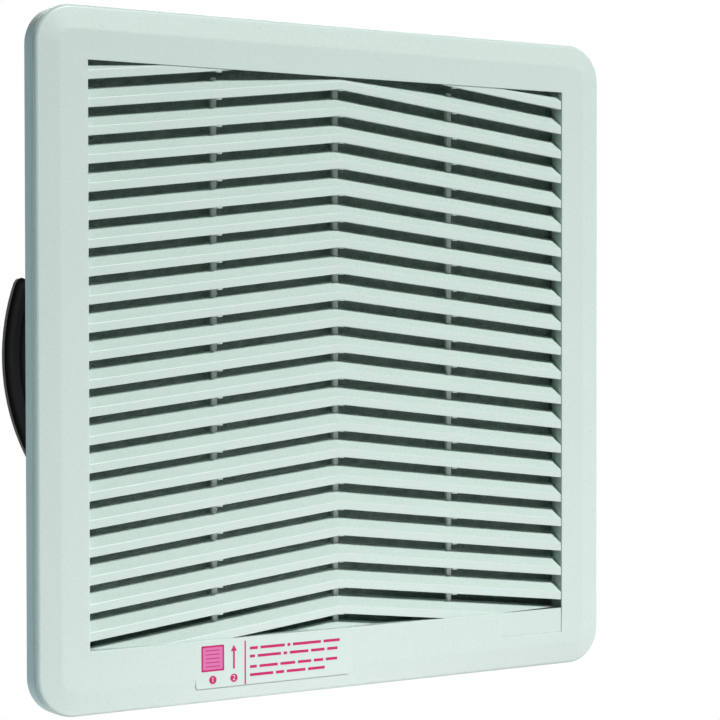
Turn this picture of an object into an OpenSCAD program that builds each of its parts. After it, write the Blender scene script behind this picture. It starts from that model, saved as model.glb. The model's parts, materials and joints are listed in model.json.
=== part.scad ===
// Enclosure filter fan: louvred clip-on front cover, panel frame with filter mat, air duct and axial fan.
// Millimetres. X to the right, Y into the cabinet, Z up. The front faces -Y.
// The origin is the middle of the seal's back face, where the unit rests on the cabinet's panel.

/* [Front frame] */
// Width and height of the square front frame
frame_w = 325; // [315:1:340]
// Radius of the frame's outer corners
corner_r = 18.5; // [16:0.5:24]
// Depth of the frame's side, from its back to the edge of its face
side_h = 11.6; // [11:0.1:16]
// Width of the sloped outer band of the face
band_w = 11.5; // [9:0.5:13]
// How far the face stands proud of its outer edge
crown_h = 1.6; // [1.2:0.1:3]
// Wall of the front cover
cover_t = 2.2; // [1.8:0.1:3]
// Fillet round the cover's outer edge
rim_r = 1.8; // [1:0.1:2]
// Depth of the cover's skirt behind its outer edge
skirt_h = 4; // [3:0.1:5]
// Open line between the cover's skirt and the panel frame
part_gap = 0.7; // [0.4:0.1:1.2]

/* [Louvres] */
// Border between the frame's side and the louvres
border_side = 25.6; // [24:0.1:30]
// Border above the louvres
border_top = 25.1; // [24:0.1:30]
// Border below the louvres
border_bottom = 29.8; // [28:0.1:36]
// How far the slats lie behind the face
louvre_recess = 0.6; // [0.4:0.1:1.4]
// Height from one slat to the next
slat_pitch = 12.85; // [12:0.05:15]
// Slope of the slats, down from the middle to each side, in degrees
slat_slope = 6.56; // [3:0.01:12]
// Height of the slat nearest the middle above the frame's centre
slat_phase = 2.8; // [0:0.1:12]
// Height of a slat's upright front lip
lip_h = 4.15; // [3:0.05:5]
// Height of a whole slat
slat_h = 9.15; // [7:0.05:10]
// Depth of a slat
slat_d = 6.8; // [5:0.1:8]
// Thickness of a slat
slat_t = 1.8; // [1.4:0.1:2.2]
// How far the slats' top end falls for each unit of depth behind the face
field_fall = 0.62; // [0.4:0.01:0.8]
// Width of the upright ribs behind the slats
rib_w = 3.2; // [2:0.1:5]
// Depth of the upright ribs
rib_d = 5.2; // [4:0.1:6]
// Width of the shallow pocket at the bottom right of the face
pocket_w = 40.2; // [20:0.1:60]
// Height of that pocket
pocket_h = 12.7; // [8:0.1:16]

/* [Panel frame] */
// Wall of the panel frame and its tray
frame_t = 2.5; // [2:0.1:3.5]
// Side of the square cut-out in the cabinet's panel
cutout_w = 291; // [288:1:294]
// Space between the cut-out's edge and the tray, where the panel clips stand
clip_space = 4; // [3.5:0.1:6]
// Thickness of the filter mat
mat_t = 17; // [12:0.5:20]
// Pitch of the filter grid's bars
grid_pitch = 28; // [20:1:32]
// Depth of the filter grid's bars
grid_d = 3.5; // [2:0.1:6]
// Width of the foam seal
seal_w = 5.5; // [4:0.1:6]
// Thickness of the foam seal
seal_t = 1.5; // [1.2:0.1:2]
// How far the seal stands proud of the frame's back
seal_proud = 0.5; // [0.3:0.1:1]
// Radius of the optional panel screw holes
panel_hole_r = 2.25; // [1.7:0.05:2.7]
// Height between the upper and the lower panel screw holes
panel_hole_h = 240; // [150:1:260]

/* [Panel clips] */
// Width of a panel clip
clip_w = 36; // [20:1:60]
// Length of a clip's springing leaf
clip_l = 11; // [9:0.5:13]
// How far the leaf's edge reaches past the cut-out's edge
clip_bite = 2.4; // [1:0.1:4]
// Thickness of a clip
clip_t = 0.8; // [0.6:0.1:1]
// Thickest panel that the clips pass
panel_t = 2.4; // [2.1:0.1:3]

/* [Duct] */
// Space between the tray's wall and the duct's wide end
duct_margin = 24; // [21:0.5:26]
// Wall of the duct
duct_t = 2.2; // [1.8:0.1:3]
// Length of the duct
duct_l = 38.1; // [30:0.1:60]
// Width of the duct's front flange
duct_flange_w = 10; // [9:0.5:11]

/* [Fan] */
// Diameter over the fan's rims
fan_w = 225; // [222:1:228]
// Depth of the fan
fan_d = 80; // [76:1:90]
// Radius of the fan's bore
bore_r = 101.6; // [99:0.1:103]
// Wall of the fan's ring
ring_t = 2.5; // [2:0.1:3.5]
// Thickness of the fan's rims
fan_rim_t = 3.2; // [2.5:0.1:4]
// Angle above the left side at which the gap in the rear rim starts, in degrees
notch_at = 21.8; // [10:0.1:40]
// Angle that the gap in the rear rim spans, in degrees
notch_span = 13; // [5:0.5:25]
// Rounding of the rim's corners at that gap
notch_r = 3.4; // [1:0.1:5]
// Number of arms that carry the motor
arms = 4; // [3:1:6]
// Width of an arm
arm_w = 9; // [6:0.5:14]
// Depth of an arm
arm_d = 11; // [8:0.5:14]

/* [Impeller and motor] */
// Gap between the blades' tips and the fan's bore
tip_gap = 2.1; // [1:0.1:4]
// Number of blades
blades = 7; // [5:1:9]
// Thickness of a blade
blade_t = 1.5; // [1:0.1:2]
// Depth of the blades along the shaft
blade_d = 34; // [26:1:36]
// Radius of the blades' camber
camber_r = 85; // [70:1:140]
// Angle of the blades from the plane of rotation, in degrees
blade_angle = 36; // [30:1:42]
// How far the blades' tips lean forward, in degrees
tip_sweep = 14; // [0:1:20]
// Radius of the rotor can
rotor_r = 44; // [42:0.5:48]
// Radius of the motor's shaft
shaft_r = 4; // [3:0.1:5]
// Outer radius of a bearing
bearing_r = 11; // [10:0.1:12]
// Width of a bearing
bearing_w = 7; // [6:0.1:8]
// Number of teeth on the stator core
stator_teeth = 12; // [6:1:16]

/* [Finger guard] */
// Radius of the guard's wire
wire_r = 1.3; // [1:0.1:1.6]
// Radius of the smallest ring
guard_in_r = 14; // [12:0.5:15]
// Spacing of the rings
guard_pitch = 12; // [10:0.1:12.2]
// Number of rings
guard_rings = 8; // [5:1:8]

/* [Fasteners] */
// Radius of the fan's and the guard's screws
screw_r = 2; // [1.5:0.05:2.1]
// Radius of the duct's screws
duct_screw_r = 1.5; // [1.2:0.05:1.7]
// Radius of the terminal box's screws
lid_screw_r = 1.4; // [1.1:0.05:1.5]
// Radius of the clips' rivets
rivet_r = 1.6; // [1.2:0.05:1.8]
// Radius of a screw's head for each unit of the screw's radius
head_k = 1.9; // [1.7:0.05:2]

/* [Terminal box] */
// Width and height of the terminal box
box_w = 39; // [36:0.5:40]
// Depth of the terminal box
box_d = 26; // [24:0.5:34]
// Wall of the terminal box
box_t = 1.8; // [1.5:0.1:2.2]
// Radius of the gland's cable hole
cable_r = 4; // [3:0.1:4.5]
// Number of terminals
poles = 3; // [2:1:3]

/* [Hidden] */

$fn = 96;
eps = 0.01;
running = 0.03;     // play of the shaft in its bearings, on the radius
seat = 0.3;         // play where a soft or loose piece lies on its seat
snug = 0.05;        // play of a rigid piece in its seat

// Depths of the front, from the panel towards the viewer
frame_half = frame_w / 2;
back_y = -seal_proud;
rim_y = back_y - side_h;
face_y = rim_y - crown_h;
band_a = atan(crown_h / band_w);
rim_c_y = rim_y + rim_r * (1 / cos(band_a) - tan(band_a));
skirt_y = rim_y + skirt_h;
frame_front_y = skirt_y + part_gap;
plate_y = back_y - frame_t;
slat_y = face_y + louvre_recess;
rib_y = slat_y + slat_d - slat_t;
rib_back_y = rib_y + rib_d;
collar_y = slat_y + slat_d + 1.1;

// Opening of the louvres
open_x = frame_half - border_side;
open_top = frame_half - border_top;
open_bottom = -frame_half + border_bottom;
collar_t = 1.6;
slats = ceil(frame_half / slat_pitch);

// Tray behind the front
tray_half = cutout_w / 2 - clip_space;
tray_in = tray_half - frame_t;
tray_r = 6;
mat_y = rib_back_y + seat;
grid_y = mat_y + mat_t + seat;
shelf_y = grid_y + grid_d;
tray_back_y = shelf_y + frame_t;
seal_in = cutout_w / 2 + 1;
seal_groove = seal_t - seal_proud;
panel_hole_x = frame_half - frame_t - panel_hole_r - 1.8;

// Lugs that locate the cover and tongue at its bottom
lug_w = 16;
lug_t = 1.8;
lug_x = [-100, 0, 100];
lug_at = frame_half - frame_t - seat;
lug_back_y = plate_y - seat;
tongue_w = 70;
tongue_y = skirt_y + seat;
tongue_back_y = back_y - 1.5;
tongue_play = 1;
bead_r = 0.9;

// Panel clips
saddle_y = panel_t + clip_l + seat;
saddle_l = 6.5;
pivot_out = tray_half + clip_t / 2 + 0.1;
clip_out = cutout_w / 2 + clip_bite;

// Duct and fan along the depth
duct_y = tray_back_y;
duct_r = tray_in - duct_margin;
fan_y = duct_y + duct_l;
fan_back_y = fan_y + fan_d;
fan_r = fan_w / 2;
ring_r = bore_r + ring_t;
ear_at = 45;
ear_r = 6.5;
ear_hole_at = fan_r + 4.5;
hole_r = screw_r + 0.2;
nut_t = 1.6 * screw_r;
duct_lip_t = 2.5;
duct_screw_at = duct_r + duct_t / 2 + duct_flange_w / 2 + 0.4;
duct_screws_at = [10, 80, 190, 280];
duct_end_r = bore_r + 3.5;
duct_wall = duct_t * norm([duct_l - 1, duct_r - duct_end_r]) / (duct_l - 1);
duct_rib_at = 15;
function cone_r(y) = duct_r - (duct_r - duct_end_r) * (y - duct_y - 1) / (duct_l - 1);

// Motor along the depth
motor_y = fan_back_y - fan_rim_t - arm_d;
motor_plate_t = 3.5;
hub_r = rotor_r + 2;
can_t = 2.4;
can_l = 46;
can_y = motor_y - 2 - can_l;
tube_t = 2.8;
tube_r = bearing_r + tube_t;
tube_l = 38;
tube_y = motor_y - tube_l;
bearing_shelf = 1.2;
core_l = 22;
core_y = motor_y - 32;
core_r = rotor_r - can_t - 3.4;
winding_l = 5.5;
air_gap = 0.5;
blade_y = can_y + 5;
tip_r = bore_r - tip_gap;

// Guard behind the fan
guard_bar_r = wire_r + 0.3;
guard_y = fan_back_y + guard_bar_r;
guard_screw_at = (ring_r + fan_r) / 2;
guard_eye_r = 4;

// Terminal box in the corner of the tray's back
box_x = -tray_half + box_w / 2 + 2;
box_z = tray_half - box_w / 2 - 2;
box_back_y = tray_back_y + box_d;
box_lid_t = 2.5;
lid_boss_r = lid_screw_r + 1.5;
lid_screw_at = box_w / 2 - box_t - lid_boss_r - 0.1;
gland_r = 8;
gland_hex_r = 10;
gland_l = 9;
gland_nut_l = 11;
gland_y = tray_back_y + box_d / 2 + 1;
block_w = 30;
block_h = 11;
block_d = 12;

// A flat outline in X and Z, given depth along Y
module slab(y0, y1)
  translate([0, y1, 0]) rotate([90, 0, 0]) linear_extrude(y1 - y0) children();

// A half profile of radius and depth, turned about the Y axis
module spun(a = 360)
  rotate([-90, 0, 0]) rotate_extrude(angle = a) children();

// A round bar or hole along Y
module bar_y(x, z, y0, y1, r)
  translate([x, y0, z]) rotate([-90, 0, 0]) cylinder(h = y1 - y0, r = r);

// A place on a circle round the Y axis, counted in degrees from +X towards +Z
module round_y(a)
  rotate([0, -a, 0]) children();

// Square with rounded corners, from its half width
module soft_square(half, r) {
  square([2 * half, 2 * (half - r)], center = true);
  square([2 * (half - r), 2 * half], center = true);
  for (x = [-1, 1], z = [-1, 1])
    translate([x * (half - r), z * (half - r)]) circle(r);
}

// A profile carried round the rounded square of the frame. Its x counts from the corner's centre.
module round_frame(half, r)
  for (a = [0:90:270])
    rotate([0, a, 0]) {
      translate([half - r, 0, -(half - r)]) linear_extrude(2 * (half - r)) children();
      translate([half - r, 0, -(half - r)]) rotate([-90, 0, 0]) rotate_extrude(angle = 90) children();
    }

// Outline of the louvre opening, grown by m on each side
module opening(m = 0)
  translate([-open_x - m, open_bottom - m])
    square([2 * (open_x + m), open_top - open_bottom + 2 * m]);

// Section of the cover's outer band, fillet and skirt
module rim_profile() {
  polygon([[corner_r - band_w, face_y],
           [corner_r - rim_r * (1 - sin(band_a)), rim_c_y - rim_r * cos(band_a)],
           [corner_r - rim_r, rim_c_y], [corner_r, rim_c_y], [corner_r, skirt_y],
           [corner_r - cover_t, skirt_y], [corner_r - cover_t, rim_y + cover_t],
           [corner_r - band_w, face_y + cover_t]]);
  translate([corner_r - rim_r, rim_c_y]) circle(rim_r, $fn = 32);
}

// Section of one slat: an upright lip in front and a blade that climbs backwards from it
module slat_profile()
  polygon([[0, 0], [0, lip_h], [slat_d, slat_h], [slat_d, slat_h - slat_t],
           [slat_t, lip_h - slat_t * 0.6], [slat_t, 0]]);

// One half of a slat, from the middle down to the right
module half_slat()
  rotate([0, slat_slope, 0]) translate([-slat_pitch, slat_y, 0])
    rotate([90, 0, 90]) linear_extrude(open_x * 1.1 + slat_pitch) slat_profile();

module chevron(n)
  translate([0, 0, slat_phase + n * slat_pitch])
    for (m = [0, 1]) mirror([m, 0, 0]) intersection() {
      half_slat();
      translate([0, slat_y - 1, -frame_half]) cube([frame_half, slat_d + 2, frame_w]);
    }

// Ribs behind the slats, each with a short foot under every lip
module louvre_ribs()
  for (x = [-open_x / 2, 0, open_x / 2]) {
    translate([x - rib_w / 2, rib_y, open_bottom - collar_t])
      cube([rib_w, rib_d, open_top - open_bottom + 2 * collar_t]);
    for (n = [-slats:slats]) {
      z = slat_phase + n * slat_pitch - abs(x) * tan(slat_slope);
      if (z > open_bottom + 1 && z < open_top - 1)
        translate([x - rib_w / 2, slat_y + slat_t * 0.9, z - 0.8])
          cube([rib_w, slat_d - slat_t * 1.8, lip_h * 0.5]);
    }
  }

// Room for the slats and ribs, seen from the side: its top falls towards the back
module field_section()
  translate([-frame_half, 0, 0]) rotate([90, 0, 90]) linear_extrude(frame_w) {
    back = rib_back_y + 1;
    top = open_top + seat;
    polygon([[slat_y, -frame_half], [back, -frame_half], [back, top - field_fall * (back - slat_y)],
             [slat_y, top]]);
  }

// Flat lug that slides in along the inside of the panel frame's wall
module lug(x)
  translate([x - lug_w / 2, 0, 0]) {
    translate([0, face_y + cover_t - eps, lug_at - lug_t])
      cube([lug_w, lug_back_y - face_y - cover_t, lug_t]);
    for (g = [0, lug_w - cover_t])
      translate([g, face_y + cover_t - eps, lug_at - 7])
        cube([cover_t, skirt_y - face_y - cover_t, 7 - eps]);
  }

module front_cover()
  color([0.80, 0.86, 0.84]) {
    difference() {
      union() {
        round_frame(frame_half, corner_r) rim_profile();
        slab(face_y, face_y + cover_t) difference() {
          soft_square(frame_half - band_w, corner_r - band_w);
          opening();
        }
        // Wall round the opening, left out along its top
        slab(face_y, collar_y) intersection() {
          difference() {
            opening(collar_t);
            opening();
          }
          translate([-frame_half, open_bottom - collar_t])
            square([frame_w, open_top - open_bottom + collar_t]);
        }
        // Floor behind the pocket
        translate([open_x - pocket_w - collar_t, slat_y, open_bottom - pocket_h - collar_t])
          cube([pocket_w + 2 * collar_t, cover_t, pocket_h + 2 * collar_t]);
        for (x = lug_x) lug(x);
        for (x = [lug_x[0], lug_x[2]]) rotate([0, 180, 0]) lug(x);
      }
      translate([open_x - pocket_w, face_y - 1, open_bottom - pocket_h])
        cube([pocket_w, louvre_recess + 1, pocket_h + eps]);
    }
    intersection() {
      union() {
        for (n = [-slats:slats]) chevron(n);
        louvre_ribs();
      }
      slab(slat_y - 1, rib_back_y + 1) opening(collar_t / 2);
      field_section();
    }
  }

// Springing tongue at the bottom of the cover, raised by a finger to free it
module latch_tongue()
  color([0.80, 0.86, 0.84])
    translate([-tongue_w / 2, 0, -frame_half + cover_t / 2]) rotate([90, 0, 90]) {
      linear_extrude(tongue_w) {
        translate([tongue_y + cover_t / 2, -cover_t / 2])
          square([tongue_back_y - tongue_y - cover_t / 2, cover_t]);
        translate([tongue_y + cover_t / 2, 0]) circle(cover_t / 2, $fn = 32);
      }
      for (z = [tongue_w / 4, tongue_w * 3 / 4])
        translate([tongue_back_y - 2 * bead_r, cover_t / 2, z - lug_w / 2]) cylinder(h = lug_w, r = bead_r);
    }

module filter_mat()
  color([0.10, 0.11, 0.11])
    slab(mat_y, mat_y + mat_t) soft_square(tray_in - seat, tray_r - frame_t);

module filter_grid()
  color([0.78, 0.84, 0.82]) {
    half = tray_in - snug;
    bar = 2.4;
    slab(grid_y, shelf_y) {
      difference() {
        soft_square(half, tray_r - frame_t);
        square(2 * (half - 3), center = true);
      }
      intersection() {
        square(2 * half - 2, center = true);
        union()
          for (i = [-floor(half / grid_pitch):floor(half / grid_pitch)]) {
            translate([i * grid_pitch - bar / 2, -half]) square([bar, 2 * half]);
            translate([-half, i * grid_pitch - bar / 2]) square([2 * half, bar]);
          }
      }
    }
  }

module panel_frame()
  color([0.72, 0.79, 0.77])
    difference() {
      union() {
        slab(frame_front_y, back_y) difference() {
          soft_square(frame_half, corner_r);
          soft_square(frame_half - frame_t, corner_r - frame_t);
        }
        slab(plate_y, back_y) difference() {
          soft_square(frame_half - 1, corner_r - 1);
          soft_square(tray_in, tray_r - frame_t);
        }
        slab(plate_y, tray_back_y) difference() {
          soft_square(tray_half, tray_r);
          soft_square(tray_in, tray_r - frame_t);
        }
        slab(shelf_y, tray_back_y) difference() {
          soft_square(tray_half, tray_r);
          circle(duct_r);
        }
        // Stiffening ribs across the front flange
        for (a = [0:90:270], i = [-4:4])
          rotate([0, a, 0])
            translate([tray_in + 1, frame_front_y + 2.5, i * 30 - 10])
              cube([frame_half - tray_in - 2, plate_y - frame_front_y - 2.5 + eps, 1.6]);
      }
      slab(back_y - seal_groove, back_y + 1) difference() {
        soft_square(seal_in + seal_w + snug, tray_r + seal_w);
        soft_square(seal_in - snug, tray_r);
      }
      for (x = [-1, 1], z = [-1, 1])
        bar_y(x * panel_hole_x, z * panel_hole_h / 2, frame_front_y, back_y + 1, panel_hole_r);
      // Slot for the tongue
      translate([-tongue_w / 2 - tongue_play, frame_front_y - 1, -frame_half - 1])
        cube([tongue_w + 2 * tongue_play, tongue_back_y - frame_front_y + 1 + seat,
              frame_t + 2 + 2 * bead_r]);
      // Room for the cover's lugs between the flange's ribs
      for (x = lug_x, z = [lug_at - lug_t - 8, -lug_at - 0.2])
        translate([x - lug_w / 2 - 2, frame_front_y - 1, z])
          cube([lug_w + 4, plate_y - frame_front_y + 1, lug_t + 8.2]);
      for (a = [0:90:270], z = [-clip_w / 4, clip_w / 4]) on_side(a)
        translate([tray_in - 1, saddle_y + saddle_l / 2, z])
          rotate([0, 90, 0]) cylinder(h = frame_t + 2, r = rivet_r + snug);
      for (a = duct_screws_at)
        round_y(a) bar_y(duct_screw_at, 0, shelf_y - 1, tray_back_y + 1, duct_screw_r + 0.1);
    }

module panel_seal()
  color([0.16, 0.17, 0.18])
    slab(back_y - seal_groove, 0) difference() {
      soft_square(seal_in + seal_w, tray_r + seal_w);
      soft_square(seal_in, tray_r);
    }

// A quarter turn for each side of the tray: 0 right, 90 top, 180 left, 270 bottom
module on_side(a)
  round_y(a) children();

// Leaf that springs inwards as the unit is pushed through the cut-out
module clip_leaf() {
  translate([0, 0, -clip_w / 2]) linear_extrude(clip_w) {
    polygon([[pivot_out - clip_t / 2, saddle_y - seat], [clip_out - clip_t, panel_t],
             [clip_out, panel_t], [pivot_out + clip_t / 2, saddle_y - seat]]);
    translate([pivot_out, saddle_y - seat]) circle(clip_t / 2, $fn = 32);
  }
}

module panel_clip_right() color([0.62, 0.64, 0.66]) on_side(0) clip_leaf();
module panel_clip_top() color([0.62, 0.64, 0.66]) on_side(90) clip_leaf();
module panel_clip_left() color([0.62, 0.64, 0.66]) on_side(180) clip_leaf();
module panel_clip_bottom() color([0.62, 0.64, 0.66]) on_side(270) clip_leaf();

module clip_saddles()
  color([0.62, 0.64, 0.66])
    for (a = [0:90:270]) on_side(a)
      difference() {
        translate([tray_half, saddle_y + clip_t / 2, -clip_w / 2])
          cube([clip_t, saddle_l - clip_t / 2, clip_w]);
        for (z = [-clip_w / 4, clip_w / 4])
          translate([tray_half - 1, saddle_y + saddle_l / 2, z])
            rotate([0, 90, 0]) cylinder(h = clip_t + 2, r = rivet_r + snug);
      }

module clip_rivets()
  color([0.75, 0.76, 0.77])
    for (a = [0:90:270], z = [-clip_w / 4, clip_w / 4]) on_side(a)
      translate([tray_in, saddle_y + saddle_l / 2, z]) rotate([0, 90, 0]) {
        cylinder(h = frame_t + clip_t, r = rivet_r);
        translate([0, 0, frame_t + clip_t]) cylinder(h = 0.7, r = rivet_r * 1.6);
      }

// Tapered duct from the tray's round hole to the fan
module fan_duct()
  color([0.72, 0.79, 0.77])
    difference() {
      union() {
        spun() polygon([[duct_r, duct_y], [duct_r + duct_t + duct_flange_w, duct_y],
                        [duct_r + duct_t + duct_flange_w, duct_y + duct_lip_t],
                        [cone_r(duct_y + duct_lip_t) + duct_wall, duct_y + duct_lip_t],
                        [cone_r(fan_y - duct_lip_t) + duct_wall, fan_y - duct_lip_t],
                        [fan_r, fan_y - duct_lip_t], [fan_r, fan_y], [duct_end_r, fan_y],
                        [duct_r, duct_y + 1]]);
        for (a = [ear_at:90:360]) round_y(a) ear(fan_y - duct_lip_t, fan_y);
        // Ribs up the outside of the duct
        for (a = [duct_rib_at:30:360]) round_y(a)
          translate([0, 0, -0.8]) linear_extrude(1.6)
            polygon([[duct_r + 0.8, duct_y + 1], [duct_r + duct_t + 6, duct_y + 1],
                     [fan_r - 1, fan_y - duct_lip_t - 8], [fan_r - 1, fan_y - 1],
                     [duct_end_r + 1.6, fan_y - 1]]);
      }
      for (a = [ear_at:90:360]) round_y(a)
        bar_y(ear_hole_at, 0, fan_y - duct_lip_t - 1, fan_y + 1, hole_r);
      for (a = duct_screws_at)
        round_y(a) bar_y(duct_screw_at, 0, duct_y - 1, duct_y + duct_lip_t + 1, duct_screw_r + 0.1);
    }

// Ear on a flange for one of the fan's screws
module ear(y0, y1)
  slab(y0, y1) {
    translate([ear_hole_at, 0]) circle(ear_r);
    translate([fan_r - 3, -ear_r]) square([ear_hole_at - fan_r + 3, 2 * ear_r]);
  }

module pan_screw(r, length) {
  head_r = r * head_k;
  head_h = head_r * 0.7;
  rotate_extrude() polygon([[0, -length], [r, -length], [r, 0], [head_r, 0], [head_r, head_h * 0.5],
                            [head_r * 0.75, head_h * 0.9], [head_r * 0.3, head_h], [0, head_h]]);
}

module duct_screws()
  color([0.70, 0.71, 0.73])
    for (a = duct_screws_at) round_y(a)
      translate([duct_screw_at, duct_y + duct_lip_t, 0]) rotate([-90, 0, 0])
        pan_screw(duct_screw_r, duct_lip_t + frame_t);

// Black fan body: ring with rims, motor arms and motor plate with bearing tube
module fan_housing()
  color([0.06, 0.06, 0.065])
    difference() {
      union() {
        spun() fan_ring_profile();
        slab(fan_back_y - fan_rim_t, fan_back_y) difference() {
          circle(fan_r);
          circle(ring_r - 1);
          rotate(180 - notch_at - notch_span) rim_gap();
          rotate(180 - notch_at) gap_corner();
          rotate(180 - notch_at - notch_span) mirror([0, 1]) gap_corner();
        }
        for (a = [ear_at:90:360]) round_y(a) ear(fan_y, fan_y + fan_rim_t);
      }
      for (a = [ear_at:90:360]) round_y(a) {
        bar_y(ear_hole_at, 0, fan_y - 1, fan_y + fan_rim_t + 1, hole_r);
        bar_y(guard_screw_at, 0, fan_back_y - fan_rim_t - 9, fan_back_y + 1, screw_r + 0.05);
      }
    }

// Spider that carries the motor: its arms end flush at the ring's wall
module motor_mount()
  color([0.06, 0.06, 0.065])
    difference() {
      union() {
        for (i = [0:arms - 1]) round_y(i * 360 / arms + 14)
          translate([rotor_r - 8, motor_y, rotor_r * 0.28])
            cube([bore_r - rotor_r + 8, arm_d, arm_w]);
        spun() polygon([[tube_r - tube_t - 4, motor_y - eps], [rotor_r + 2, motor_y],
                        [rotor_r + 2, motor_y + motor_plate_t + 3], [rotor_r - 2, motor_y + motor_plate_t + 5],
                        [rotor_r - 6, motor_y + motor_plate_t], [tube_r - tube_t - 4, motor_y + motor_plate_t]]);
        spun() polygon([[bearing_r + snug, tube_y], [tube_r, tube_y], [tube_r, motor_y + 1],
                        [tube_r - tube_t - 4, motor_y + 1], [tube_r - tube_t - 4, motor_y],
                        [bearing_r + snug, motor_y]]);
      }
      spun() translate([bore_r, motor_y - 1]) square([2 * arm_d, arm_d + 2]);
      bar_y(0, 0, motor_y - 1, fan_back_y, bearing_r - 3);
    }

// Half section of the ring: front rim with its rounded inlet, and the wall back to the rear rim
module fan_ring_profile() {
  inlet_r = 7;
  difference() {
    polygon([[bore_r, fan_y], [fan_r, fan_y], [fan_r, fan_y + fan_rim_t],
             [ring_r + 3.5, fan_y + fan_rim_t], [ring_r, fan_y + inlet_r + 3], [ring_r, fan_back_y],
             [bore_r, fan_back_y]]);
    difference() {
      translate([bore_r - 1, fan_y - 1]) square([inlet_r * 0.6 + 1, inlet_r + 1]);
      translate([bore_r + inlet_r, fan_y + inlet_r]) circle(inlet_r, $fn = 64);
    }
  }
}

// Sector cut out of the rear rim down to the ring's wall
module rim_gap() {
  reach = fan_w;
  difference() {
    polygon([[0, 0], [reach, 0], [reach, reach * tan(notch_span)]]);
    circle(ring_r - eps);
  }
}

// Rounding of the rim's outer corner beside that gap
module gap_corner() {
  at = fan_r - notch_r - seat;
  difference() {
    translate([at, -1]) square([notch_r + 1, notch_r + 1]);
    translate([at, notch_r - seat]) circle(notch_r, $fn = 32);
  }
}

module fan_screws()
  color([0.70, 0.71, 0.73])
    for (a = [ear_at:90:360]) round_y(a)
      translate([ear_hole_at, fan_y + fan_rim_t, 0]) rotate([-90, 0, 0])
        pan_screw(screw_r, fan_rim_t + duct_lip_t + nut_t + 1.3);

module fan_nuts()
  color([0.70, 0.71, 0.73])
    for (a = [ear_at:90:360]) round_y(a)
      difference() {
        bar_hex(ear_hole_at, fan_y - duct_lip_t - nut_t, fan_y - duct_lip_t, 2 * screw_r);
        bar_y(ear_hole_at, 0, fan_y - 20, fan_y, screw_r + snug);
      }

module bar_hex(x, y0, y1, r)
  translate([x, y0, 0]) rotate([-90, 0, 0]) cylinder(h = y1 - y0, r = r, $fn = 6);

// Motor: fixed inside, turning can outside
module stator_core()
  color([0.45, 0.46, 0.48])
    slab(core_y, core_y + core_l) difference() {
      circle(core_r);
      circle(tube_r + snug);
      for (i = [0:stator_teeth - 1]) rotate(i * 360 / stator_teeth) {
        translate([core_r * 0.74, 0]) circle(3.2);
        translate([core_r * 0.74, -1]) square([core_r * 0.3, 2]);
      }
    }

module stator_winding()
  color([0.72, 0.40, 0.20])
    for (y = [core_y - winding_l, core_y + core_l])
      slab(y, y + winding_l) difference() {
        circle(core_r * 0.9);
        circle(core_r * 0.56);
      }

module bearing(y)
  color([0.75, 0.76, 0.78])
    spun() difference() {
      translate([shaft_r + running, y]) square([bearing_r - shaft_r - running, bearing_w]);
      for (e = [y - eps, y + bearing_w - 0.6])
        translate([shaft_r + 2.2, e]) square([bearing_r - shaft_r - 4.2, 0.6 + eps]);
    }

module bearing_front() bearing(tube_y + bearing_shelf);
module bearing_rear() bearing(motor_y - bearing_w - snug);

shaft_y = can_y + can_t;
ring_groove_y = motor_y + 1;

module motor_shaft()
  color([0.70, 0.71, 0.73])
    spun() difference() {
      translate([0, shaft_y]) square([shaft_r, ring_groove_y + 3 - shaft_y]);
      translate([shaft_r - 0.5, ring_groove_y]) square([1, 0.9]);
    }

module retaining_ring()
  color([0.25, 0.25, 0.26])
    slab(ring_groove_y + 0.05, ring_groove_y + 0.85) difference() {
      circle(shaft_r + 1.8);
      circle(shaft_r - 0.45);
      translate([0, -1.5]) square([shaft_r * 2, 3]);
    }

module rotor_can()
  color([0.12, 0.12, 0.13])
    spun() polygon([[0, can_y], [rotor_r - 5, can_y], [rotor_r, can_y + 4], [rotor_r, can_y + can_l],
                    [core_r + air_gap, can_y + can_l], [core_r + air_gap, core_y],
                    [rotor_r - can_t, core_y - 2], [rotor_r - can_t, can_y + can_t + 4],
                    [rotor_r - 6, can_y + can_t], [shaft_r + 3, can_y + can_t],
                    [shaft_r + 3, tube_y - 1], [shaft_r + snug, tube_y - 1],
                    [shaft_r + snug, can_y + can_t], [0, can_y + can_t]]);

// Radius, leading angle and trailing angle of the blade's outline
function blade_lead(r) = let (s = (r - rotor_r) / (tip_r - rotor_r)) 20 + tip_sweep * pow(s, 1.6);
function blade_trail(r) = let (s = (r - rotor_r) / (tip_r - rotor_r)) -24 + tip_sweep * 0.9 * pow(s, 1.3);
steps = 6;

module blade_outline() {
  rs = [for (i = [0:steps]) hub_r - 1 + i * (tip_r * 1.03 - hub_r + 1) / steps];
  polygon(concat([for (r = rs) r * [cos(blade_lead(r)), sin(blade_lead(r))]],
                 [for (i = [steps:-1:0]) rs[i] * [cos(blade_trail(rs[i])), sin(blade_trail(rs[i]))]]));
}

// One blade: a strip of a curved shell, cut to a leaning outline and to the tip circle
module blade()
  intersection() {
    translate([0, blade_y + blade_d / 2, 0]) rotate([blade_angle, 0, 0])
      translate([hub_r - 1, -camber_r - blade_t / 2, 0]) rotate([0, 90, 0]) difference() {
        cylinder(h = tip_r, r = camber_r + blade_t, $fn = 180);
        translate([0, 0, -1]) cylinder(h = tip_r + 2, r = camber_r, $fn = 180);
      }
    slab(blade_y, blade_y + blade_d) intersection() {
      blade_outline();
      circle(tip_r);
    }
  }

module impeller()
  color([0.08, 0.08, 0.085]) {
    spun() translate([rotor_r + snug, can_y + 4.5]) square([hub_r - rotor_r - snug, blade_d + 5]);
    difference() {
      for (i = [0:blades - 1]) round_y(i * 360 / blades) blade();
      bar_y(0, 0, can_y - 5, can_y + can_l + 10, rotor_r + snug);
    }
  }

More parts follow.
